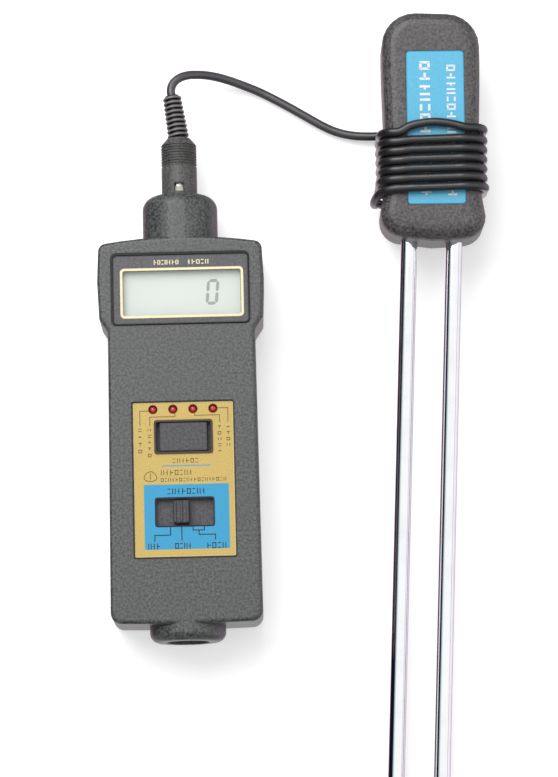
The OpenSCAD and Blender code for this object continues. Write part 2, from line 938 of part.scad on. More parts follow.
module plug_sleeve() {
  color("#3a3a3c")
  difference() {
    translate([0, plug_y, split_z])
      rotate([-90, 0, 0])
        rotate_extrude()
          polygon([
            [0, 0], [plug_d / 2 - 0.3, 0], [plug_d / 2, 0.3], [plug_d / 2, 11],
            for (i = [0:7])
              each [
                [plug_d / 2 - 0.3, 11.4 + i], [plug_d / 2 - 0.3, 11.8 + i],
                [plug_d / 2, 12 + i], [plug_d / 2, 12.2 + i]
              ],
            [plug_d / 2 - 0.5, sleeve_l - 2], [plug_d / 2 - 2.2, sleeve_l], [0, sleeve_l]
          ]);
    bar(plug_shell_r, plug_y - 1, shell_high);
    bar(boot_root_r, shell_high - 1, boot_y + 1);
    translate([-1.7, plug_y + 1.2, split_z])
      cube([3.4, 3.2, plug_d]);
  }
}

module plug_shell() {
  color("#cfd1d3")
  difference() {
    bar(plug_shell_r, shell_low, shell_high);
    bar(plug_shell_r - plug_shell_t, shell_low - 1, shell_high + 1);
  }
}

module plug_insulator() {
  color("#1c1c1e")
  difference() {
    bar(plug_shell_r - plug_shell_t, core_top + 0.8, nose_y + 6);
    pin_bars(pin_r, core_top, nose_y + 7);
  }
}

module plug_pins() {
  color("#d9bd6e")
  pin_bars(pin_r, nose_y - 8, nose_y + 8);
}

module plug_latch() {
  color("#e6e6e6")
  translate([-1.5, plug_y + 1.3, split_z + plug_shell_r])
    cube([3, 1.9, 0.7]);
}

// Strain relief: a straight root in the sleeve, then rings on a core that leans with the lead
module plug_boot() {
  lean = boot_end - boot_start;
  length = norm(lean);
  pitch = length / boot_rings;
  color("#333335") {
    bar(boot_root_r, shell_high, boot_y);
    bar(boot_root_r - 0.7, boot_y - 1, boot_y + 1);
    translate(boot_start)
      sphere(r = 2.4);
    multmatrix(boot_frame(lean / length))
      rotate_extrude()
        polygon([
          [0, 0],
          for (i = [0:boot_rings - 1])
            let (outer = 3.85 - 0.06 * i, low = pitch * i)
            each [
              [outer - 0.9, low], [outer - 0.2, low + 0.15], [outer, low + 0.4],
              [outer, low + pitch * 0.5], [outer - 0.2, low + pitch * 0.62],
              [outer - 0.9, low + pitch * 0.7]
            ],
          [2.5, length], [0, length]
        ]);
  }
}

// Frame whose Z runs along way, from the strain relief's start
function boot_frame(way) =
  let (side = unit(cross(way, [0, 0, 1])), up = cross(side, way))
  [
    [side.x, -up.x, way.x, boot_start.x], [side.y, -up.y, way.y, boot_start.y],
    [side.z, -up.z, way.z, boot_start.z], [0, 0, 0, 1]
  ];

module cable_lead() {
  color("#2e2e30")
  tube(lead_points, cable_r);
}

module cable_winding() {
  color("#2b2b2d")
  at_probe()
    difference() {
      leaning()
        translate([0, winding_low, handle_split])
          rotate([-90, 0, 0])
            linear_extrude(winding_high - winding_low)
              polygon(box_outline(winding_w, handle_t + 2 * cable_d, handle_edge_r + cable_d));
      handle_solid();
    }
}

module cable_tail() {
  color("#2e2e30")
  at_probe()
    translate([tail_shift, 0, 0])
      tube(tail_points, cable_r);
}

// ---- Probe handle ----

module handle_solid() {
  loft(
    [
      for (i = [edge_steps:-1:0]) handle_outline(edge_inset(handle_edge_r, i)),
      for (i = [0:edge_steps]) handle_outline(edge_inset(handle_edge_r, i))
    ],
    [
      for (i = [edge_steps:-1:0]) handle_edge_r - edge_rise(handle_edge_r, i),
      for (i = [0:edge_steps]) handle_t - handle_edge_r + edge_rise(handle_edge_r, i)
    ],
    [0, handle_l / 2]
  );
}

module grommet_bar(r, low, high) {
  translate([grommet_place.x + tail_shift, grommet_place.y, grommet_place.z])
    rotate([0, 45, 0])
      translate([0, 0, low])
        cylinder(r = r, h = high - low);
}

module rod_bar(s, r, low, high) {
  translate([s * rod_x, low, handle_split])
    rotate([-90, 0, 0])
      cylinder(r = r, h = high - low);
}

module handle_hollows() {
  translate([0, 0, handle_wall])
    linear_extrude(handle_t - 2 * handle_wall)
      polygon(handle_outline(handle_hollow_inset));
  for (s = sides)
    rod_bar(s, rod_r, -handle_rise - 1, 6);
}

module front_screw_posts() {
  for (p = handle_screw_places)
    post(p, boss_r, handle_wall, handle_t - handle_wall);
}

module handle_front_shell() {
  color("#403f41")
  at_probe()
    difference() {
      intersection() {
        handle_solid();
        translate([-handle_w, -handle_l, handle_split])
          cube([2 * handle_w, 3 * handle_l, handle_t]);
      }
      difference() {
        handle_hollows();
        front_screw_posts();
      }
      leaning()
        translate(handle_label_place)
          slab(handle_label_w + fit, handle_label_l + fit, handle_t - label_t, handle_t + 1, 1.2);
      for (p = handle_screw_places)
        post(p, screw_r - 0.05, handle_split - 1, handle_split + 7);
    }
}

module handle_rear_shell() {
  color("#3b3a3c")
  at_probe()
    difference() {
      intersection() {
        handle_solid();
        translate([-handle_w, -handle_l, handle_split - handle_t])
          cube([2 * handle_w, 3 * handle_l, handle_t]);
      }
      difference() {
        handle_hollows();
        for (p = handle_screw_places)
          post(p, boss_r + 0.8, 0, handle_split);
      }
      for (p = handle_screw_places) {
        post(p, screw_r, -1, handle_split + 1);
        post(p, screw_head_r + 0.2, -1, screw_seat);
      }
      grommet_bar(grommet_r, -6, 8);
    }
}

module handle_label() {
  color("#5ab4e8")
  at_probe()
    leaning()
      translate(handle_label_place)
        slab(handle_label_w, handle_label_l, handle_t - label_t, handle_t, 1.2);
}

module handle_screws() {
  color("#a9abad")
  at_probe()
    for (p = handle_screw_places)
      translate([p.x, p.y, screw_seat - screw_head_h])
        screw(screw_r - 0.05, screw_head_r, screw_head_h, handle_split - screw_seat + 6.4);
}

module rod_block() {
  color("#d8d2c2")
  at_probe()
    difference() {
      translate([-block_w / 2, block_low, handle_split - block_t / 2])
        cube([block_w, block_high - block_low, block_t]);
      for (s = sides) {
        rod_bar(s, rod_r, block_low - 1, rod_inside);
        rod_bar(s, stud_r, rod_inside - 1, block_high + 1);
      }
    }
}

module electrode_rod(s) {
  tip = 5;
  color("#d4d6d9")
  at_probe() {
    rod_bar(s, rod_r, tip - rod_out, rod_inside);
    rod_bar(s, stud_r, rod_inside - tiny, nut_low + nut_t + 2);
    translate([s * rod_x, tip - rod_out, handle_split])
      rotate([90, 0, 0])
        cylinder(r1 = rod_r, r2 = 1, h = tip);
  }
}

module electrode_rod_left() {
  electrode_rod(-1);
}

module electrode_rod_right() {
  electrode_rod(1);
}

module rod_terminals() {
  color("#c9a85a")
  at_probe()
    for (s = sides)
      difference() {
        union() {
          rod_bar(s, 3.3, block_high, nut_low);
          translate([s * rod_x - 1.5, block_high, handle_split])
            cube([3, 1, 7]);
        }
        rod_bar(s, stud_r, block_high - 1, nut_low + 1);
      }
}

module rod_nuts() {
  color("#b7b9bb")
  at_probe()
    for (s = sides)
      difference() {
        translate([s * rod_x, nut_low, handle_split])
          rotate([-90, 30, 0])
            cylinder(r = 3.8, h = nut_t, $fn = 6);
        rod_bar(s, stud_r, nut_low - 1, nut_low + nut_t + 1);
      }
}

module cable_clamp() {
  color("#c7c2b4")
  at_probe()
    translate([clamp_x + tail_shift, clamp_y, 0])
      slab(7, 6, handle_wall, clamp_top);
}

module terminal_wires() {
  color("#b8453a")
  at_probe()
    for (s = sides)
      tube([
        [s * rod_x, nut_low, handle_split + 6], [s * rod_x, nut_low + 3, handle_split + 6],
        [s * 6.4, nut_low + 7, handle_split + 4], [s * 4, clamp_y - 5, handle_split + 1],
        [clamp_x + tail_shift + s * 1.6, clamp_y - 1, clamp_top + wire_core_r],
        [clamp_x + tail_shift + s * 1.6, clamp_y + 1, clamp_top + wire_core_r]
      ], wire_core_r, 6);
}

module cable_grommet() {
  color("#2a2a2c")
  at_probe()
    difference() {
      intersection() {
        grommet_bar(grommet_r, -1.4, 0.7);
        translate([-20, 0, 0])
          cube([40, 30, 2 * handle_wall]);
      }
      grommet_bar(cable_r + 0.05, -8, 12);
    }
}

rear_cover();
front_cover();
display_window();
lcd_glass();
lcd_holder();
contact_strips();
main_board();
main_chip();
board_parts();
board_screws();
case_screws();
face_label();
indicator_lamps();
button_switch();
slide_switch();
socket_shell();
socket_core();
socket_contacts();
socket_wires();
end_plug();
batteries();
battery_plates();
battery_springs();
battery_leads();
battery_door();
select_button();
button_plunger();
switch_knob();
switch_slider();
plug_sleeve();
plug_shell();
plug_insulator();
plug_pins();
plug_latch();
plug_boot();
cable_lead();
cable_winding();
cable_tail();
cable_grommet();
cable_clamp();
handle_front_shell();
handle_rear_shell();
handle_label();
handle_screws();
rod_block();
electrode_rod_left();
electrode_rod_right();
rod_nuts();
rod_terminals();
terminal_wires();
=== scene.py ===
"""Looks of a grain moisture meter and its two-rod probe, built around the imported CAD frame.

Lengths named or listed below are millimetres, in the frame of the part: its origin is the centre of
the meter's rear face, +X runs to the right of the display, +Y towards the probe socket and +Z out of
the display. The probe has its own frame, at the middle of the handle's rod end on its rear face.
"""

import math

import bmesh
import bpy
from mathutils import Matrix, Vector


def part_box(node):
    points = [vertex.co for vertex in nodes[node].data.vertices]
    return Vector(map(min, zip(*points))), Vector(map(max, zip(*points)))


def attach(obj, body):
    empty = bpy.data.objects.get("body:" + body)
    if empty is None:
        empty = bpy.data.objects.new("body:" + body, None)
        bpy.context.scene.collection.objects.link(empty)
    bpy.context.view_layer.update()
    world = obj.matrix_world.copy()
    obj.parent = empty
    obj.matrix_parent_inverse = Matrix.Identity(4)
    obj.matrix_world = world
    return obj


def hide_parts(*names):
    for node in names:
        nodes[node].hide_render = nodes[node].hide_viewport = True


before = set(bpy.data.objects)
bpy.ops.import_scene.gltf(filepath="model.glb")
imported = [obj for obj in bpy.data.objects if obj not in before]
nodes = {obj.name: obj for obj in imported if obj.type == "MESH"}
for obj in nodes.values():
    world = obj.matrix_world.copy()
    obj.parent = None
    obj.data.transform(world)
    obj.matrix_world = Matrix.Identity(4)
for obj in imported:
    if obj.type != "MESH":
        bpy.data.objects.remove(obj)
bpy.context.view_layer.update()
scene = bpy.context.scene
MM = 0.001


# ---- Camera ----

def make_camera():
    """Stands above the meter and leans towards its foot, as the photograph's camera does."""
    target = Vector((34.53, 15.7, 13)) * MM
    turn, tilt, distance = math.radians(1.38), math.radians(9.5), 1.2
    ahead = Vector((math.sin(turn), math.cos(turn), 0))
    place = target + distance * Vector((0, 0, math.cos(tilt))) - distance * math.sin(tilt) * ahead
    forward = (target - place).normalized()
    right = forward.cross(ahead).normalized()
    up = right.cross(forward)
    data = bpy.data.cameras.new("camera")
    data.sensor_width = 36
    data.lens = 153.8
    data.clip_end = 20
    camera = bpy.data.objects.new("camera", data)
    scene.collection.objects.link(camera)
    camera.matrix_world = Matrix.Translation(place) @ Matrix((right, up, -forward)).transposed().to_4x4()
    scene.camera = camera


# ---- Lead ----

PROBE_PLACE = Vector((91.3, 69.2, 2.65))
PROBE_TURN, PROBE_PITCH = -3, 2.77      # degrees about Z and X
PROBE = (
    Matrix.Translation(PROBE_PLACE)
    @ Matrix.Rotation(math.radians(PROBE_TURN), 4, "Z")
    @ Matrix.Rotation(math.radians(PROBE_PITCH), 4, "X")
)
LEAN, LEAN_V = 2.2, 6                   # the handle leans by degrees, about a point this far along it
HANDLE = (
    PROBE
    @ Matrix.Translation((0, LEAN_V, 0))
    @ Matrix.Rotation(math.radians(LEAN), 4, "Z")
    @ Matrix.Translation((0, -LEAN_V, 0))
)
CABLE_D = 3.2
CABLE_R = CABLE_D / 2
HANDLE_T = 27
EDGE_R = 5                              # rounding of the handle's long edges
WINDING_LOW, WINDING_PITCH = 16.4, 3.45
WHOLE_TURNS = 6
LAST_TURN_UP, LAST_TURN_BOW = 0.5, 2.3  # the last turn lies off the others and bows over the front
BOOT_START = Vector((0, 109.5, 13.5))
BOOT_END = Vector((-2.2, 125.3, 12.8))
LEAD_POINTS = [
    BOOT_END, BOOT_END + 2 * (BOOT_END - BOOT_START).normalized(),
    (-1.8, 130, 12.2), (0.2, 132.2, 11.6), (3.2, 133.6, 10.6), (7, 134.2, 9.2), (12, 134.2, 7.2),
    (18, 133.2, 4.8), (24, 131.4, 2.8),
    (30, 129, 1.8), (36, 125.8, 1.7), (42, 122.3, 1.7), (48, 118.6, 1.7), (53, 115.6, 1.7),
    (58, 113.2, 1.7), (64, 111.6, 1.9), (70, 111, 2.4), (75.5, 110.8, 2.9),
]
TAIL_POINTS = [
    (-19.5, 14.8, 2.3), (-18, 14.8, 0.1), (-15.8, 14.8, -1.3), (-13, 14.8, -1.7),
    (-8.7, 14.8, -1.7), (-7, 14.8, -1.5), (-5.4, 14.8, -0.8), (-4, 14.8, 0.2), (-2.4, 14.8, 1.8),
]
LOOP_POINTS = [
    (-20.3, 14.3, 6.5), (-20.8, 13.7, 11), (-20.9, 13.7, 15.5), (-20.3, 14.5, 20),
    (-18.9, 15.5, 24.2), (-16.3, 16.2, 27.2),
]


def ease(t):
    """Smooth step from 0 to 1."""
    return (1 - math.cos(math.pi * min(max(t, 0), 1))) / 2


def handle_half(v):
    """Half width of the handle, v along it from the rod end."""
    wide_v, waist_v, crown_v = 8, 20.45, 67.9
    wide, waist, crown = 38, 33.6, 35.5
    if v < waist_v:
        return (wide + (waist - wide) * ease((v - wide_v) / (waist_v - wide_v))) / 2
    return (waist + (crown - waist) * ease((v - waist_v) / (crown_v - waist_v))) / 2


def turn_points(v_low, pitch, bow=0.0):
    """One turn round the handle, from the left end of a front strand to the left side again.

    Each point rises by its share of the pitch, so that the turns make a helix.
    """
    made = []

    def add(u, w, share, lift=0.0):
        """u runs across the handle, w out of its front."""
        wobble = 0.13 * math.sin(1.7 * v_low + 9 * share)
        made.append((u, v_low + pitch * share + lift + wobble, w))

    def corner(side, level, first, share):
        """Arc round one long edge: side is -1 or 1, level the height of the edge's centre."""
        for step in range(4):
            angle = math.radians(first - 30 * step)
            u = side * (handle_half(v_low) - EDGE_R) + (EDGE_R + CABLE_R) * math.cos(angle)
            add(u, level + (EDGE_R + CABLE_R) * math.sin(angle), share + 0.02 * step)

    top, bottom = HANDLE_T - EDGE_R, EDGE_R
    for step in range(1, 6):
        t = step / 6
        u = (2 * t - 1) * (handle_half(v_low) - EDGE_R)
        add(u, HANDLE_T + CABLE_R, 0.05 + 0.22 * t, bow * math.sin(math.pi * t))
    corner(1, top, 90, 0.27)
    for step in (1, 2):
        add(handle_half(v_low) + CABLE_R, top + (bottom - top) * step / 3, 0.33 + 0.06 * step)
    corner(1, bottom, 0, 0.5)
    for step in range(1, 6):
        t = step / 6
        add((1 - 2 * t) * (handle_half(v_low) - EDGE_R), -CABLE_R, 0.56 + 0.2 * t)
    corner(-1, bottom, -90, 0.76)
    for step in (1, 2):
        add(-handle_half(v_low) - CABLE_R, bottom + (top - bottom) * step / 3, 0.82 + 0.06 * step)
    corner(-1, top, 180, 0.97)
    return made


def smooth_curve(name, points, radius, material):
    """A round cord through points, in millimetres."""
    data = bpy.data.curves.new(name, "CURVE")
    data.dimensions = "3D"
    data.bevel_depth = radius * MM
    data.bevel_resolution = 5
    data.resolution_u = 6
    data.use_fill_caps = True
    spline = data.splines.new("BEZIER")
    spline.bezier_points.add(len(points) - 1)
    for knot, point in zip(spline.bezier_points, points):
        knot.co = Vector(point) * MM
        knot.handle_left_type = knot.handle_right_type = "AUTO"
    made = bpy.data.objects.new(name, data)
    scene.collection.objects.link(made)
    data.materials.append(material)
    return made


def lead_route():
    """The whole lead: out of the grommet, round the handle in seven turns and on to the plug."""
    shift = Vector(((LEAN_V - TAIL_POINTS[-1][1]) * math.tan(math.radians(LEAN)), 0, 0))
    tail = [Vector(p) + shift for p in reversed(TAIL_POINTS)]
    wound = []
    for k in range(WHOLE_TURNS):
        wound += turn_points(WINDING_LOW + WINDING_PITCH * k, WINDING_PITCH)
    last_low = WINDING_LOW + WINDING_PITCH * WHOLE_TURNS + LAST_TURN_UP
    up_left_side = 10       # the last turn ends under the handle, without its points up the left side
    wound += turn_points(last_low, WINDING_PITCH, LAST_TURN_BOW)[:-up_left_side]
    turns = [HANDLE @ Vector(p) for p in LOOP_POINTS + wound]
    return [PROBE @ p for p in tail] + turns + [Vector(p) for p in reversed(LEAD_POINTS)]


# ---- Materials ----

class Tree:
    """An emptied node tree, with short calls that add nodes and link them."""

    def __init__(self, tree):
        self.tree = tree
        self.tree.nodes.clear()

    def node(self, kind, inputs=None, **settings):
        made = self.tree.nodes.new(kind)
        for key, value in settings.items():
            setattr(made, key, value)
        for key, value in (inputs or {}).items():
            self.put(made.inputs[key], value)
        return made

    def put(self, socket, value):
        if isinstance(value, bpy.types.NodeSocket):
            self.tree.links.new(value, socket)
        else:
            socket.default_value = value

    def math(self, operation, *values):
        return self.node("ShaderNodeMath", dict(enumerate(values)), operation=operation).outputs[0]

    def spread(self, value, low, high, to_low=0.0, to_high=1.0):
        """Value from low to high, drawn out to run from to_low to to_high."""
        ends = {"From Min": low, "From Max": high, "To Min": to_low, "To Max": to_high}
        return self.node("ShaderNodeMapRange", {"Value": value, **ends}).outputs[0]

    def mix(self, factor, first, second):
        made = self.node("ShaderNodeMix", data_type="RGBA")
        for name, value in (("Factor_Float", factor), ("A_Color", first), ("B_Color", second)):
            self.put(next(s for s in made.inputs if s.identifier == name), value)
        return next(s for s in made.outputs if s.identifier == "Result_Color")


class Graph(Tree):
    """A material's node tree, with a call for each kind of pattern used here."""

    def __init__(self, name):
        self.material = bpy.data.materials.new(name)
        self.material.use_nodes = True
        super().__init__(self.material.node_tree)
        self.where = self.node("ShaderNodeTexCoord").outputs["Object"]

    def noise(self, size, detail=2.0, stretch=(1, 1, 1)):
        """Noise whose lumps are about size millimetres."""
        placed = self.node("ShaderNodeMapping", {"Vector": self.where, "Scale": stretch}).outputs[0]
        inputs = {"Vector": placed, "Scale": 1 / (size * MM), "Detail": detail}
        return self.node("ShaderNodeTexNoise", inputs).outputs["Fac"]

    def axis(self, name):
        return self.node("ShaderNodeSeparateXYZ", {"Vector": self.where}).outputs[name]

    def round_edges(self, radius):
        return self.node("ShaderNodeBevel", {"Radius": radius * MM}, samples=4).outputs[0]

    def edges(self, rounded):
        """1 along sharp edges, 0 elsewhere."""
        flat = self.node("ShaderNodeNewGeometry").outputs["Normal"]
        dot = self.node("ShaderNodeVectorMath", {0: rounded, 1: flat}, operation="DOT_PRODUCT")
        return self.spread(dot.outputs["Value"], 0.995, 0.85)

    def bump(self, height, depth, normal=None):
        inputs = {"Height": height, "Distance": depth * MM}
        if normal is not None:
            inputs["Normal"] = normal
        return self.node("ShaderNodeBump", inputs).outputs[0]

    def finish(self, **inputs):
        """Ends the graph in a Principled shader; underscores in the names stand for spaces."""
        named = {key.replace("_", " "): value for key, value in inputs.items()}
        shader = self.node("ShaderNodeBsdfPrincipled", named)
        self.node("ShaderNodeOutputMaterial", {"Surface": shader.outputs[0]})
        return self.material


def colour(red, green, blue):
    """Linear colour from 0-255 display values."""
    def linear(value):
        value /= 255
        return value / 12.92 if value <= 0.04045 else ((value + 0.055) / 1.055) ** 2.4

    return (linear(red), linear(green), linear(blue), 1)


def shade(base, factor):
    """The colour made darker or paler by factor."""
    return (*(min(c * factor, 1) for c in base[:3]), 1)


def moulded(name, base, grain=0.45, relief=0.05, rough=0.5, wear_and_highlight=0.3, rim=0.6, mottle=0.25,
            seam_z=None, soft=0.35, **extra):
    """Moulded plastic: a spark-eroded grain, slight mottling, grime along edges and a rubbed rim.

    grain is the size of its lumps, relief their height and mottle their change of tone. soft is the
    rounding of its edges, rim how dark the painted shade is there, and wear_and_highlight how much of
    the edges is painted paler, as a highlight, and made shinier, as wear.
    Where two shells meet, seam_z is the height of the dark line between them.
    """
    g = Graph(name)
    fine, broad = g.noise(grain, 3), g.noise(14, 2)
    rounded = g.round_edges(soft)
    patchy = g.spread(g.noise(5), 0.35, 0.65, 0.3 * wear_and_highlight, wear_and_highlight)
    rubbed_and_highlight = g.math("MULTIPLY", g.edges(g.round_edges(0.3)), patchy)
    tone = g.mix(g.spread(fine, 0.37, 0.63), shade(base, 1 - mottle), shade(base, 1 + mottle))
    tone = g.mix(g.spread(broad, 0.35, 0.65, 0, 0.25), tone, shade(base, 0.8))
    # Painted shade: darker along the edges, as dark as rim says.
    tone = g.mix(g.math("MULTIPLY", g.edges(g.round_edges(1.3)), rim), tone, shade(base, 0.16))
    # Painted highlight: paler in patches right on the edges, which are also made shinier below.
    tone = g.mix(rubbed_and_highlight, tone, shade(base, 1.8))
    height = fine
    if seam_z is not None:
        off = g.math("ABSOLUTE", g.math("SUBTRACT", g.axis("Z"), seam_z * MM))
        seam = g.spread(off, 0.08 * MM, 0.22 * MM, 1, 0)
        tone = g.mix(seam, tone, shade(base, 0.15))
        height = g.math("SUBTRACT", fine, g.math("MULTIPLY", seam, 3))
    roughness = g.math("SUBTRACT", g.spread(fine, 0.3, 0.7, rough - 0.07, rough + 0.1),
                       g.math("MULTIPLY", rubbed_and_highlight, 0.15))
    return g.finish(Base_Color=tone, Roughness=roughness, Normal=g.bump(height, relief, rounded), **extra)


def rubber(name, base, rough=0.4, ribs=None, painted_sheen_to=None, **extra):
    """Soft vinyl: nearly smooth, with faint handling marks and dust.

    ribs is the start, end and number of ribs, with a painted highlight on their crests and painted
    shade in the grooves between them. Up to painted_sheen_to in X the cord is painted paler, as a
    highlight.
    """
    g = Graph(name)
    fine, marks = g.noise(0.3, 2), g.noise(6, 4)
    dust = g.spread(marks, 0.5, 0.8, 0, 0.35)
    tone = g.mix(g.spread(fine, 0.3, 0.7), shade(base, 0.85), shade(base, 1.15))
    tone = g.mix(dust, tone, shade(base, 1.9))
    # Painted highlight: up to the given X the cord is painted paler.
    if painted_sheen_to is not None:
        fade = 14
        beyond_sheen = g.spread(g.axis("X"), (painted_sheen_to - fade) * MM, painted_sheen_to * MM)
        tone = g.mix(beyond_sheen, g.mix(marks, shade(base, 3), shade(base, 6)), tone)
    if ribs:
        start, end, count = ribs
        along = (end - start) / (end - start).length_squared * count / MM
        turns = g.node("ShaderNodeVectorMath", {0: g.where, 1: tuple(along)}, operation="DOT_PRODUCT")
        phase = g.math("FRACT", g.math("SUBTRACT", turns.outputs["Value"], along.dot(start) * MM))
        rib_middle = 0.36       # as a share of the way from one rib to the next
        crest = g.math("ABSOLUTE", g.math("SUBTRACT", phase, rib_middle))
        # Painted highlight on the rib crests and painted shade in the grooves between them.
        crest_highlight = g.mix(marks, shade(base, 5), shade(base, 10))
        tone = g.mix(g.spread(crest, 0.16, 0.3, 1, 0), shade(base, 0.12), crest_highlight)
    roughness = g.spread(marks, 0.3, 0.7, rough - 0.06, rough + 0.12)
    normal = g.bump(fine, 0.02, g.round_edges(0.2))
    return g.finish(Base_Color=tone, Roughness=roughness, Normal=normal, **extra)


def metal(name, base, rough, stretch=(1, 1, 1), relief=0.004):
    """Drawn or turned metal with fine streaks and a few duller patches."""
    g = Graph(name)
    streaks, patches = g.noise(0.4, 3, stretch), g.noise(9, 3)
    tone = g.mix(g.spread(patches, 0.45, 0.75, 0, 0.35), base, shade(base, 0.82))
    roughness = g.math("ADD", g.spread(streaks, 0.3, 0.7, rough * 0.7, rough * 1.2),
                       g.spread(patches, 0.5, 0.8, 0, rough * 0.6))
    normal = g.bump(streaks, relief, g.round_edges(0.15))
    return g.finish(Base_Color=tone, Roughness=roughness, Metallic=1.0, Normal=normal)


def printed(name, base, rough=0.42, variation=0.08):
    """Ink or printed foil: an even coat with slight unevenness."""
    g = Graph(name)
    fine, broad = g.noise(0.5, 2), g.noise(11, 2)
    tone = g.mix(g.spread(fine, 0.35, 0.65), shade(base, 1 - variation), shade(base, 1 + variation))
    tone = g.mix(g.spread(broad, 0.4, 0.7, 0, 0.18), tone, shade(base, 0.86))
    roughness = g.spread(fine, 0.3, 0.7, rough - 0.05, rough + 0.08)
    return g.finish(Base_Color=tone, Roughness=roughness, Normal=g.bump(fine, 0.008))


def lamp_resin():
    """Red diffused resin with painted shade: brightest on the crown, deep red down its side."""
    g = Graph("lamp_resin")
    # Painted shade: the dome darkens to deep red towards its foot.
    crown = g.spread(g.axis("Z"), 25.9 * MM, 27 * MM)
    cloud = g.noise(0.6, 3)
    tone = g.mix(crown, colour(84, 6, 8), colour(178, 40, 38))
    tone = g.mix(g.spread(cloud, 0.4, 0.7, 0, 0.3), tone, colour(240, 90, 80))
    roughness = g.spread(cloud, 0.3, 0.7, 0.12, 0.25)
    return g.finish(Base_Color=tone, Roughness=roughness, Normal=g.bump(cloud, 0.01),
                    Emission_Color=(0.8, 0.03, 0.02, 1), Emission_Strength=0.1, Coat_Weight=0.5)


def clear_pane():
    """Clear window with a faint haze."""
    g = Graph("clear_pane")
    haze = g.noise(3, 4)
    return g.finish(Base_Color=g.mix(haze, (0.8, 0.85, 0.82, 1), (0.9, 0.93, 0.9, 1)),
                    Roughness=g.spread(haze, 0.4, 0.7, 0.03, 0.09), Alpha=0.06)


def screen_film():
    """Reflective film of the display: pale grey-green with a faint grain and duller patches."""
    g = Graph("screen_film")
    fine, broad = g.noise(0.25, 2), g.noise(20, 2)
    tone = g.mix(g.spread(fine, 0.35, 0.65), colour(216, 223, 215), colour(222, 228, 221))
    tone = g.mix(g.spread(broad, 0.4, 0.7, 0, 0.3), tone, colour(209, 217, 211))
    roughness = g.spread(fine, 0.3, 0.7, 0.3, 0.42)
    return g.finish(Base_Color=tone, Roughness=roughness, Normal=g.bump(fine, 0.004))


def circuit_board():
    """Green lacquered board: darker where the copper tracks don't run."""
    g = Graph("circuit_board")
    tracks = g.node("ShaderNodeTexBrick", {"Vector": g.where, "Scale": 260.0, "Mortar Size": 0.03},
                    offset=0.5).outputs["Fac"]
    fine = g.noise(0.4, 2)
    tone = g.mix(tracks, (0.012, 0.09, 0.03, 1), (0.03, 0.19, 0.07, 1))
    return g.finish(Base_Color=tone, Roughness=g.spread(fine, 0.3, 0.7, 0.25, 0.45),
                    Normal=g.bump(tracks, 0.03), Coat_Weight=0.3)


def battery_jacket():
    """Printed foil jacket: a dark body and a copper band at one end, along Y."""
    g = Graph("battery_jacket")
    band_y = -24.3
    band = g.spread(g.axis("Y"), band_y * MM, (band_y + 0.1) * MM)
    fine = g.noise(0.6, 2)
    tone = g.mix(band, (0.03, 0.03, 0.035, 1), (0.5, 0.25, 0.08, 1))
    tone = g.mix(g.spread(fine, 0.4, 0.7, 0, 0.3), tone, (0.2, 0.14, 0.08, 1))
    return g.finish(Base_Color=tone, Roughness=g.spread(fine, 0.3, 0.7, 0.2, 0.35), Metallic=0.6,
                    Normal=g.bump(fine, 0.01))


# ---- Meshes ----

def arc_box(x0, y0, x1, y1, radius):
    """Anticlockwise outline of a rectangle with round corners."""
    steps = 4
    made = []
    for cx, cy, first in ((x1, y0, -90), (x1, y1, 0), (x0, y1, 90), (x0, y0, 180)):
        ox = cx - radius if cx == x1 else cx + radius
        oy = cy - radius if cy == y1 else cy + radius
        for step in range(steps + 1):
            angle = math.radians(first + 90 * step / steps)
            made.append((ox + radius * math.cos(angle), oy + radius * math.sin(angle)))
    return made


def centred_box(cx, cy, half_w, half_h, radius):
    return arc_box(cx - half_w, cy - half_h, cx + half_w, cy + half_h, radius)


def inset(loop, amount):
    """The loop drawn in by amount, for loops that turn anticlockwise."""
    made = []
    for i, point in enumerate(loop):
        p = Vector(point)
        a, c = Vector(loop[i - 1]), Vector(loop[(i + 1) % len(loop)])
        along = ((p - a).normalized() + (c - p).normalized()).normalized()
        made.append(tuple(p + amount * Vector((-along.y, along.x))))
    return made


def circle(cx, cy, radius):
    steps = 24
    turns = [2 * math.pi * i / steps for i in range(steps)]
    return [(cx + radius * math.cos(a), cy + radius * math.sin(a)) for a in turns]


def stripe(points, width):
    """Outline of a line of that width along points, with mitred corners."""
    path = [Vector(p) for p in points]
    left, right = [], []
    for i, p in enumerate(path):
        before = (p - path[i - 1]).normalized() if i else (path[1] - p).normalized()
        after = (path[i + 1] - p).normalized() if i + 1 < len(path) else before
        along = (before + after).normalized()
        side = Vector((-along.y, along.x)) * width / 2 / max(along.dot(before), 0.3)
        left.append(tuple(p + side))
        right.append(tuple(p - side))
    return right + left[::-1]


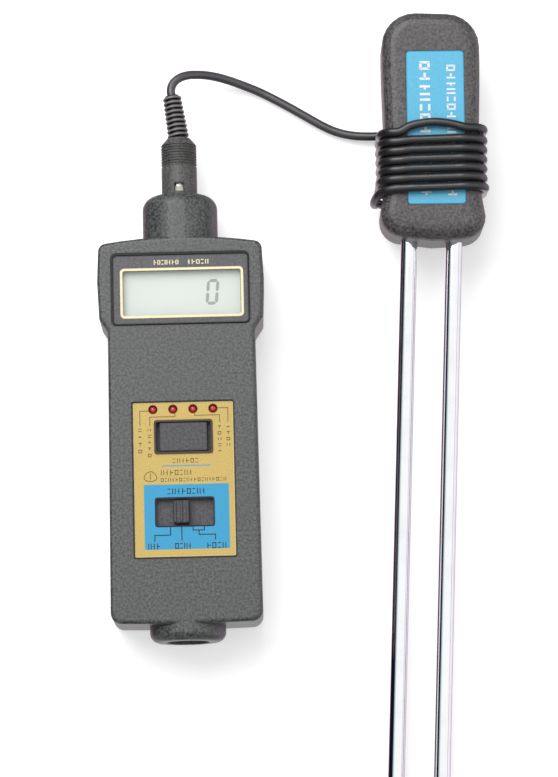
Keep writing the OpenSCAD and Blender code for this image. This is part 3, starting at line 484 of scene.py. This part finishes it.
class Solid:
    """A mesh of closed prisms and rings, drawn in millimetres."""

    def __init__(self):
        self.mesh = bmesh.new()

    def loop(self, points, z):
        return [self.mesh.verts.new((x * MM, y * MM, z * MM)) for x, y in points]

    def wall(self, low, high):
        for i in range(len(low)):
            j = (i + 1) % len(low)
            self.mesh.faces.new((low[i], low[j], high[j], high[i]))

    def prism(self, points, low, high):
        """Closed prism between two heights."""
        bottom, top = self.loop(points, low), self.loop(points, high)
        self.wall(bottom, top)
        self.mesh.faces.new(bottom[::-1])
        self.mesh.faces.new(top)

    def ring(self, outer, inner, low, high, bevel=0.0):
        """Closed frame between two outlines with the same number of points; bevel thins its top."""
        rows = [self.loop(outer, low), self.loop(outer, high - bevel)]
        if bevel:
            rows += [self.loop(inset(outer, bevel), high), self.loop(inset(inner, -bevel), high)]
        rows += [self.loop(inner, high - bevel), self.loop(inner, low)]
        for a, b in zip(rows, rows[1:] + rows[:1]):
            self.wall(a, b)

    def piece(self, name, look, body, slot, place=None):
        """Ends the mesh as a piece that rides on body; place moves it out of its own frame."""
        bmesh.ops.recalc_face_normals(self.mesh, faces=self.mesh.faces)
        if place is not None:
            unit = Matrix.Scale(MM, 4)
            bmesh.ops.transform(self.mesh, matrix=unit @ place @ unit.inverted(), verts=self.mesh.verts)
        data = bpy.data.meshes.new(name)
        self.mesh.to_mesh(data)
        self.mesh.free()
        data.materials.append(looks[look])
        made = bpy.data.objects.new(name, data)
        scene.collection.objects.link(made)
        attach(made, body)
        return made


INK_T = 0.03
RIGHT, UP, DOWN = (1, 0), (0, 1), (0, -1)
# Plain marks that stand for print, each a few strokes (x0, y0, x1, y1) in a box of 1 by 1.
MARKS = (
    ((0.15, 0, 0.15, 1), (0.85, 0, 0.85, 1)),
    ((0.15, 0, 0.15, 1), (0.15, 0.5, 0.9, 0.5)),
    ((0.1, 0.1, 0.9, 0.1), (0.1, 0.9, 0.9, 0.9)),
    ((0.5, 0, 0.5, 1), (0.1, 0.5, 0.38, 0.5)),
    ((0.1, 0, 0.1, 1), (0.9, 0, 0.9, 1), (0.1, 0.1, 0.9, 0.1), (0.1, 0.9, 0.9, 0.9)),
)


def glyph_row(solid, start, along, size, gap, count, first, z, weight):
    """A row of marks that stands for a line of print. along is the reading direction."""
    along = Vector(along)
    up = Vector((-along.y, along.x))
    wide, tall = size
    for i in range(count):
        corner = Vector(start) + along * (wide + gap) * i
        for x0, y0, x1, y1 in MARKS[(i * 3 + first) % len(MARKS)]:
            a = corner + along * wide * x0 + up * tall * y0
            b = corner + along * wide * x1 + up * tall * y1
            solid.prism(stripe([tuple(a), tuple(b)], weight), z, z + INK_T)


def middle(node):
    """Centre of a node's box in x and y, and its top, in millimetres."""
    low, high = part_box(node)
    return (low.x + high.x) / 2 / MM, (low.y + high.y) / 2 / MM, high.z / MM


def case_painted_shadow(name, outer, inner):
    """Painted shadow on the case's front: a dark ring where a window or label lies in its recess."""
    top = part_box("front_cover")[1].z / MM
    gap = Solid()
    gap.ring(outer, inner, top - 0.02, top + INK_T)
    gap.piece(name, "painted_shadow", "meter", "case_plastic")


# ---- Display ----

def make_display():
    cx, cy, top = middle("display_window")
    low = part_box("display_window")[0].z / MM
    half_w, half_h = 24.35, 12.65
    line = 0.9
    outline = (-21.7 + cx, -10.5 + cy, 22.6 + cx, 7.75 + cy)
    opening = (outline[0] + line, outline[1] + line, outline[2] - line, outline[3] - line)

    # Painted shadow round the window, wider at its left and top.
    shadow = arc_box(cx - half_w - 0.7, cy - half_h - 0.25, cx + half_w + 0.2, cy + half_h + 0.8, 1.8)
    case_painted_shadow("window_painted_shadow", shadow, centred_box(cx, cy, half_w - 0.1, half_h - 0.1, 1.4))
    border = Solid()
    border.ring(centred_box(cx, cy, half_w, half_h, 1.4), arc_box(*opening, 0.7), low, top, 0.12)
    piece = border.piece("window_border", "border", "meter", "window")
    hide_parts("display_window")

    pane = Solid()
    grow = 0.05
    pane.prism(arc_box(opening[0] - grow, opening[1] - grow, opening[2] + grow, opening[3] + grow, 0.7),
               low + 0.3, low + 0.7)
    pane.piece("window_pane", "pane", "meter", "window")

    gold = Solid()
    gold.ring(arc_box(*outline, 1.5), arc_box(*opening, 0.8), top, top + INK_T)
    gold.piece("window_line", "gold_ink", "meter", "gold_label")

    words = Solid()
    row_y = cy + 8.95
    glyph_row(words, (cx - 9.4, row_y), RIGHT, (0.95, 1.7), 0.35, 7, 1, top, 0.34)
    glyph_row(words, (cx + 2.6, row_y), RIGHT, (1.2, 1.7), 0.4, 5, 3, top, 0.34)
    words.piece("window_marks", "gold_ink", "meter", "gold_label")

    glass_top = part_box("lcd_glass")[1].z / MM
    digit = Solid()
    seven_segment_zero(digit, (cx + 11.4, cy - 0.9), 4.5, 9.4, glass_top)
    digit.piece("display_digit", "segment", "meter", "lcd")


def seven_segment_zero(solid, centre, wide, tall, z):
    """A nought of six slanting bars with pointed ends."""
    slant = math.tan(math.radians(5))
    thick, gap, film = 1.15, 0.12, 0.02
    x1, y1 = wide / 2 - thick / 2, tall / 2 - thick / 2
    bars = [((-x1, y1), (x1, y1)), ((-x1, -y1), (x1, -y1))]
    for x in (-x1, x1):
        bars += [((x, 0), (x, y1)), ((x, -y1), (x, 0))]
    for a, b in bars:
        a, b = Vector(a), Vector(b)
        along = (b - a).normalized()
        side = Vector((-along.y, along.x)) * thick / 2
        a, b = a + along * gap, b - along * gap
        inner = along * thick / 2
        outline = [a, a + inner - side, b - inner - side, b, b - inner + side, a + inner + side]
        solid.prism([(centre[0] + p.x + p.y * slant, centre[1] + p.y) for p in outline], z, z + film)


# ---- Face label ----

def make_face_label():
    cx, cy, top = middle("face_label")
    half_w, half_h = 17.9, 27.75
    rim = Solid()
    edge = centred_box(cx, cy, half_w, half_h, 0.5)
    rim.ring(edge, inset(edge, 0.32), top, top + INK_T)
    rim.piece("label_rim", "pale_gold_ink", "meter", "gold_label")
    # Painted shadow round the label, wider at its left and top.
    shadow = arc_box(cx - half_w - 0.5, cy - half_h - 0.35, cx + half_w + 0.3, cy + half_h + 0.5, 0.6)
    case_painted_shadow("label_painted_shadow", shadow, edge)
    make_blue_field(cx, cy, top)
    make_gold_marks(top)


def make_blue_field(cx, cy, top):
    """Blue field round the function switch, with its marks."""
    slot_y = middle("switch_knob")[1]
    aperture = centred_box(cx, slot_y, 10.15, 4.85, 0.6)
    field = arc_box(cx - 14.4, cy - 25.05, cx + 15.8, cy - 1.85, 0.3)
    blue = Solid()
    blue.ring(field, aperture, top, top + INK_T)
    blue.piece("label_blue_field", "blue_ink", "meter", "blue_label")

    navy = Solid()
    ink_z = top + INK_T
    navy.ring(centred_box(cx, slot_y, 10.65, 5.35, 1), aperture, ink_z, ink_z + 2 * INK_T)
    line = 0.34
    level = slot_y - 5.1
    for path in (
        [(-5.2, 0), (-5.2, -3.1), (-10.8, -3.1), (-10.8, -5.4)],
        [(-1.2, 0), (-1.2, -5.2)],
        [(2.8, 0), (2.8, -1.5), (6.8, -1.5), (6.8, 0)],
        [(4.9, -1.6), (4.9, -3.1), (10.7, -3.1), (10.7, -5)],
    ):
        navy.prism(stripe([(cx + x, level + y) for x, y in path], line), ink_z, ink_z + INK_T)
    weight = 0.3
    low_y = slot_y - 13.2
    glyph_row(navy, (cx - 6.2, slot_y + 6.35), RIGHT, (1.35, 2.1), 0.42, 8, 2, ink_z, weight)
    glyph_row(navy, (cx - 13.2, low_y), RIGHT, (1.2, 2.1), 0.35, 3, 0, ink_z, weight)
    glyph_row(navy, (cx - 3.6, low_y), RIGHT, (1.2, 2.1), 0.35, 4, 4, ink_z, weight)
    glyph_row(navy, (cx + 7.7, low_y), RIGHT, (1.4, 2.1), 0.4, 4, 1, ink_z, weight)
    navy.piece("label_blue_marks", "navy_ink", "meter", "blue_label")


def make_gold_marks(top):
    """Brown marks on the gold part: lines to the lamps, rows of marks, a kernel sign, lamp rings."""
    brown = Solid()
    line = 0.26
    for path in (
        [(-12.4, 6.3), (-15.4, 6.3), (-15.4, 1)],
        [(-2.9, 5.2), (-2.9, 4.1), (-11.9, 4.1), (-11.9, 0.8)],
        [(4.1, 5.2), (4.1, 4.4), (13, 4.4), (13, 1.7)],
        [(12.4, 6.9), (16, 6.9), (16, 1.9)],
    ):
        brown.prism(stripe(path, line), top, top + INK_T)
    glyph_row(brown, (-16.1, 0.1), DOWN, (1.3, 1.3), 1.25, 4, 0, top, line)
    glyph_row(brown, (-12.7, 0.1), DOWN, (1.2, 1.2), 1.1, 5, 2, top, line)
    glyph_row(brown, (12.3, 0.6), DOWN, (1.2, 1.2), 0.95, 5, 1, top, line)
    glyph_row(brown, (15.4, 0.6), DOWN, (1.2, 1.2), 0.95, 4, 3, top, line)
    glyph_row(brown, (-4.1, -12.6), RIGHT, (1.2, 1.6), 0.42, 6, 2, top, line)
    glyph_row(brown, (-8.3, -17), RIGHT, (1.25, 1.9), 0.42, 7, 0, top, line)
    glyph_row(brown, (-8.3, -19.3), RIGHT, (0.95, 1.3), 0.36, 18, 4, top, 0.22)

    sign_x, sign_y = -12, -17.3
    kernel = [(sign_x + 2.3 * math.cos(a) * (1 - 0.3 * math.sin(a)), sign_y + 1.9 * math.sin(a))
              for a in (2 * math.pi * i / 28 for i in range(28))]
    brown.ring(kernel, inset(kernel, line), top, top + INK_T)
    brown.prism(stripe([(sign_x, sign_y - 1.1), (sign_x, sign_y + 1.3)], line), top, top + INK_T)

    lamps_x, lamps_y = middle("indicator_lamps")[:2]
    for i in range(4):
        x = lamps_x + (i - 1.5) * 7.15
        brown.ring(circle(x, lamps_y, 1.72), circle(x, lamps_y, 1.5), top, top + INK_T)
    brown.piece("label_marks", "brown_ink", "meter", "gold_label")

    rule = Solid()
    rule.prism(stripe([(-8, -13.6), (9.3, -13.6)], 0.35), top, top + INK_T)
    rule.piece("label_rule", "blue_ink", "meter", "blue_label")


def make_button_rim():
    """Dark line on the bezel round the select button."""
    cx, cy = middle("select_button")[:2]
    bezel_top = 27.3
    half_w, half_h, line = 10.45, 6.1, 0.75
    rim = Solid()
    outer = centred_box(cx, cy, half_w, half_h, 0.9)
    inner = centred_box(cx, cy, half_w - line, half_h - line, 0.5)
    rim.ring(outer, inner, bezel_top, bezel_top + 0.1, 0.03)
    rim.piece("button_rim", "bezel", "meter", "case_plastic")


# ---- Probe ----

def make_handle_label():
    """Marks and edge line of the handle's label, drawn in the handle's own frame."""
    top = HANDLE_T
    white = Solid()
    glyph_row(white, (-0.6, 14), UP, (2.9, 3.7), 0.95, 13, 3, top, 0.85)
    glyph_row(white, (8.6, 14), UP, (2.1, 3.2), 0.75, 17, 1, top, 0.6)
    white.piece("handle_marks", "white_ink", "probe", "blue_label", HANDLE)
    edge = arc_box(-9.1, 11, 11.7, 67, 1.2)
    line = Solid()
    line.ring(edge, inset(edge, 0.3), top, top + INK_T)
    line.piece("handle_label_rim", "blue_ink", "probe", "blue_label", HANDLE)


# ---- Surroundings ----

def make_floor():
    """Pale floor that glows a little, so that the shadows stay faint."""
    half = 4.0
    corners = [(x * half, y * half, 0) for x, y in ((-1, -1), (1, -1), (1, 1), (-1, 1))]
    mesh = bpy.data.meshes.new("floor")
    mesh.from_pydata(corners, [], [(0, 1, 2, 3)])
    floor = bpy.data.objects.new("floor", mesh)
    scene.collection.objects.link(floor)
    floor.location.z = -0.2 * MM
    g = Graph("floor")
    fine = g.noise(40, 3)
    tone = g.mix(fine, (0.86, 0.86, 0.86, 1), (0.9, 0.9, 0.9, 1))
    glow = {"Emission Color": (1, 1, 1, 1), "Emission Strength": 0.45}
    mesh.materials.append(g.finish(Base_Color=tone, Roughness=0.8, **glow))
    floor.visible_glossy = False


# What shines mirrors these bands, in order round the meter's long axis from under it over its left
# side, top and right side: position from 0 to 1, then colour.
ROOM_BANDS = [
    (0, (0.95, 0.92, 0.92)), (0.08, (0.85, 0.7, 0.78)), (0.12, (0.3, 0.1, 0.2)),
    (0.15, (0.004, 0.004, 0.012)), (0.33, (0.004, 0.006, 0.02)), (0.355, (0.35, 0.42, 0.44)),
    (0.4, (0.85, 0.92, 0.9)), (0.44, (1, 1, 1)), (0.685, (1, 1, 1)), (0.7, (0.3, 0.25, 0.34)),
    (0.715, (0.95, 0.95, 0.97)), (0.8, (0.95, 0.87, 0.95)), (0.88, (0.66, 0.5, 0.64)),
    (0.92, (0.22, 0.14, 0.22)), (0.96, (0.9, 0.87, 0.9)),
]
ROOM_WALL = (0.13, 0.14, 0.16, 1)
WHITE = (1, 1, 1, 1)


def fill_ramp(band, stops):
    while len(band.elements) > 1:
        band.elements.remove(band.elements[-1])
    band.elements[0].position = stops[0][0]
    band.elements[0].color = (*stops[0][1], 1)
    for position, tint in stops[1:]:
        band.elements.new(position).color = (*tint, 1)


def make_world():
    """White to the camera, weaker white to diffuse rays, and to glossy rays a room of coloured bands
    with dark walls ahead and behind."""
    world = bpy.data.worlds.new("world")
    scene.world = world
    world.use_nodes = True
    g = Tree(world.node_tree)
    toward = g.node("ShaderNodeTexCoord").outputs["Generated"]
    axes = g.node("ShaderNodeSeparateXYZ", {"Vector": toward}).outputs
    roll = g.math("ARCTAN2", axes["X"], axes["Z"])
    ramp = g.node("ShaderNodeValToRGB", {0: g.spread(roll, -math.pi, math.pi)})
    fill_ramp(ramp.color_ramp, ROOM_BANDS)
    wall = g.spread(g.math("ABSOLUTE", axes["Y"]), 0.42, 0.75)
    room = g.mix(wall, ramp.outputs["Color"], ROOM_WALL)

    ray = g.node("ShaderNodeLightPath").outputs
    seen = g.mix(ray["Is Glossy Ray"], WHITE, room)
    bright = g.node("ShaderNodeBackground", {"Color": seen, "Strength": 1.1})
    dim = g.node("ShaderNodeBackground", {"Color": WHITE, "Strength": 0.5})
    both = {0: ray["Is Diffuse Ray"], 1: bright.outputs[0], 2: dim.outputs[0]}
    choose = g.node("ShaderNodeMixShader", both)
    g.node("ShaderNodeOutputWorld", {"Surface": choose.outputs[0]})


def make_light(name, place, target, size, power):
    """Round lamp at place, in metres, that shines at target."""
    data = bpy.data.lights.new(name, "AREA")
    data.shape = "DISK"
    data.size = size
    data.energy = power
    light = bpy.data.objects.new(name, data)
    scene.collection.objects.link(light)
    light.location = place
    light.rotation_euler = (Vector(target) - Vector(place)).to_track_quat("-Z", "Y").to_euler()


# ---- The scene ----

looks = {
    "case": moulded("case_grain", colour(72, 73, 73), grain=0.9, mottle=0.7, seam_z=13.5, soft=0.9,
                    Coat_Weight=0.4, Coat_Roughness=0.3),
    "border": moulded("window_border", colour(82, 80, 85), grain=0.7, relief=0.01, rough=0.4,
                      mottle=0.35),
    "handle": moulded("handle_grain", colour(75, 72, 72), grain=0.9, mottle=0.7, soft=0.9,
                      Coat_Weight=0.3, Coat_Roughness=0.3),
    "button": moulded("button_grain", colour(72, 71, 74), grain=0.8, relief=0.03, mottle=0.6),
    "knob": moulded("knob_grain", colour(74, 72, 76), grain=0.7, relief=0.03, rough=0.36, mottle=0.5,
                    rim=1.0),
    "dark": moulded("dark_plastic", colour(38, 38, 40), grain=0.4, relief=0.02, rough=0.42),
    "plug": moulded("plug_grip", colour(84, 83, 82), grain=0.8, relief=0.03, rough=0.45, mottle=0.5),
    "pale": moulded("pale_plastic", colour(205, 200, 188), grain=0.5, relief=0.02, wear_and_highlight=0.05,
                    mottle=0.05),
    "bezel": moulded("bezel", colour(56, 44, 36), grain=0.4, relief=0.02, rough=0.4),
    # Near-black painted shadow for the rings round the window and the label.
    "painted_shadow": moulded("painted_shadow", colour(14, 13, 15), grain=0.5, relief=0.02, rough=0.6),
    "cable": rubber("cable_jacket", colour(30, 28, 30), rough=0.3, painted_sheen_to=74, Coat_Weight=0.4,
                    Coat_Roughness=0.25),
    "boot": rubber("boot_rubber", colour(44, 42, 42), ribs=(BOOT_START, BOOT_END, 9)),
    "elastomer": rubber("elastomer", colour(214, 142, 160), rough=0.6),
    "wire": rubber("wire_insulation", colour(176, 60, 48)),
    "chrome": metal("chrome", (0.86, 0.87, 0.89, 1), rough=0.045, stretch=(1, 0.03, 1), relief=0.0006),
    "steel": metal("steel", (0.62, 0.62, 0.63, 1), rough=0.28),
    "brass": metal("brass", (0.78, 0.56, 0.22, 1), rough=0.25),
    "gold_foil": printed("gold_foil", colour(205, 177, 96), rough=0.4, variation=0.1),
    "sky_foil": printed("sky_foil", colour(92, 186, 222), rough=0.38),
    "pale_gold_ink": printed("pale_gold_ink", colour(222, 198, 130)),
    "gold_ink": printed("gold_ink", colour(250, 236, 190)),
    "blue_ink": printed("blue_ink", colour(46, 158, 204)),
    "navy_ink": printed("navy_ink", colour(6, 14, 40), rough=0.6),
    "brown_ink": printed("brown_ink", colour(104, 78, 38)),
    "white_ink": printed("white_ink", colour(240, 240, 240)),
    "segment": printed("segment", colour(140, 150, 144)),
    "lamp": lamp_resin(),
    "pane": clear_pane(),
    "screen": screen_film(),
    "board": circuit_board(),
    "battery": battery_jacket(),
}
SURFACES = {
    "case": ["rear_cover", "front_cover", "battery_door"],
    "handle": ["handle_front_shell", "handle_rear_shell"],
    "button": ["select_button"],
    "knob": ["switch_knob"],
    "dark": ["end_plug", "socket_core", "plug_insulator", "cable_grommet", "lcd_holder", "main_chip",
             "board_parts", "button_switch", "display_window"],
    "plug": ["plug_sleeve"],
    "pale": ["plug_latch", "button_plunger", "switch_slider", "cable_clamp", "rod_block"],
    "cable": ["cable_lead", "cable_winding", "cable_tail"],
    "boot": ["plug_boot"],
    "elastomer": ["contact_strips"],
    "wire": ["battery_leads", "socket_wires", "terminal_wires"],
    "chrome": ["electrode_rod_left", "electrode_rod_right"],
    "steel": ["board_screws", "case_screws", "handle_screws", "slide_switch", "socket_shell",
              "plug_shell", "battery_plates", "battery_springs", "rod_nuts"],
    "brass": ["socket_contacts", "plug_pins", "rod_terminals"],
    "gold_foil": ["face_label"],
    "sky_foil": ["handle_label"],
    "lamp": ["indicator_lamps"],
    "screen": ["lcd_glass"],
    "board": ["main_board"],
    "battery": ["batteries"],
}


def dress_nodes():
    """Gives each CAD node its material."""
    for surface, names in SURFACES.items():
        for name in names:
            for slot in nodes[name].material_slots:
                slot.link = "OBJECT"
                slot.material = looks[surface]


def make_lead():
    """The probe's lead, one cord from the handle to the plug, in place of its CAD stretches."""
    route = lead_route()
    lead = smooth_curve("probe_lead", route, CABLE_R, looks["cable"])
    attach(lead, "probe")
    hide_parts("cable_lead", "cable_winding", "cable_tail")


make_camera()
make_lead()
make_floor()
make_world()
make_light("key", (-0.45, 0.95, 1.35), (0.04, 0, 0), 1.6, 24)
scene.view_settings.view_transform = "Standard"
dress_nodes()
make_display()
make_face_label()
make_button_rim()
make_handle_label()

bpy.context.view_layer.update()
